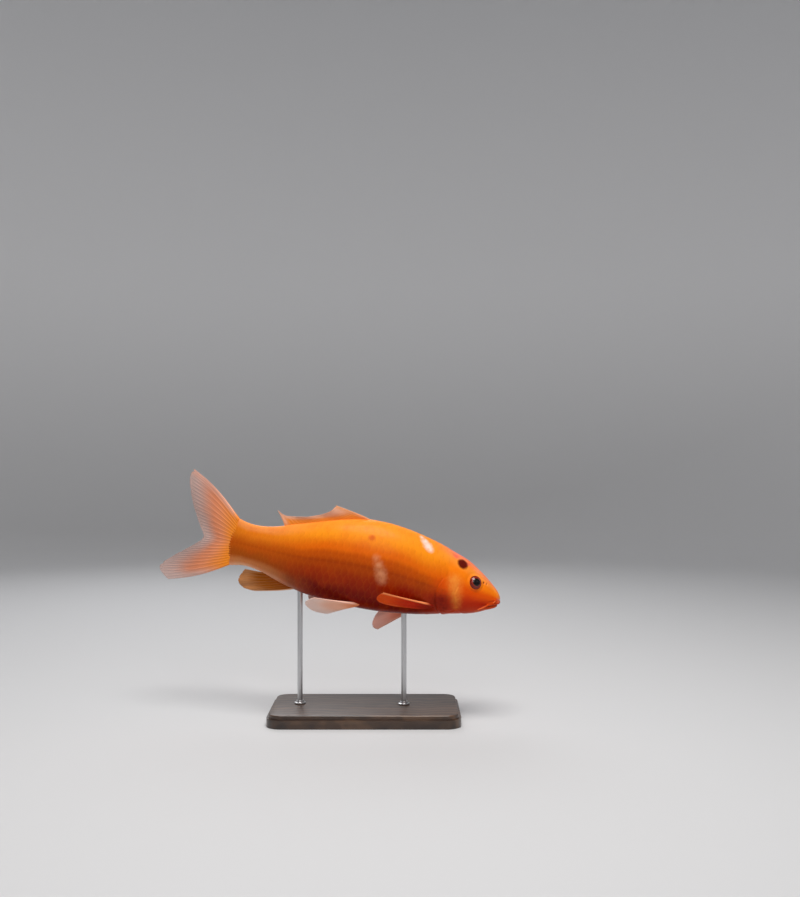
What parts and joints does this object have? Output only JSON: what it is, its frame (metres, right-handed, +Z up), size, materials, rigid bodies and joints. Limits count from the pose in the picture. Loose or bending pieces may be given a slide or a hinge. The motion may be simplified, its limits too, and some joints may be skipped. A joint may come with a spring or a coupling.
{
  "type": "koi carp model",
  "caption": "Life-size orange koi carp swimming nose down, its tail turned aside, held on steel rods over a flat wooden base.",
  "frame": {"origin": "middle of the flat underside of the display base", "axes": "+X ahead of the fish, level with the floor; +Y to the fish's left; +Z up. The fish's own axis points 12.4 degrees below +X."},
  "size_m": [0.3352, 0.096, 0.2364],
  "materials": {
    "koi_orange": "moist scaled skin, bright orange on the back and deep red-orange on the belly",
    "koi_fin": "thin translucent fin skin over fine rays, orange at the root and pale pink at the margin",
    "koi_eye": "wet and glossy, black pupil in a dark red ring",
    "stand_wood": "dark walnut with a satin varnish",
    "stand_steel": "brushed stainless steel"
  },
  "bodies": {
    "root": {"head": "koi_orange", "lower_jaw": "koi_orange", "gill_cover_left": "koi_orange", "gill_cover_right": "koi_orange", "trunk_front": "koi_orange", "trunk_rear": "koi_orange", "tail_stalk": "koi_orange", "eye_left": "koi_eye", "eye_right": "koi_eye", "barbel_long_left": "koi_fin", "barbel_long_right": "koi_fin", "barbel_short_left": "koi_fin", "barbel_short_right": "koi_fin", "dorsal_fin": "koi_fin", "anal_fin": "koi_fin", "tail_fin_upper": "koi_fin", "tail_fin_lower": "koi_fin", "pectoral_fin_left": "koi_fin", "pectoral_fin_right": "koi_fin", "pelvic_fin_left": "koi_fin", "pelvic_fin_right": "koi_fin", "stand_base": "stand_wood", "stand_rod_front": "stand_steel", "stand_rod_rear": "stand_steel", "stand_foot_front": "stand_steel", "stand_foot_rear": "stand_steel"}
  },
  "joints": []
}
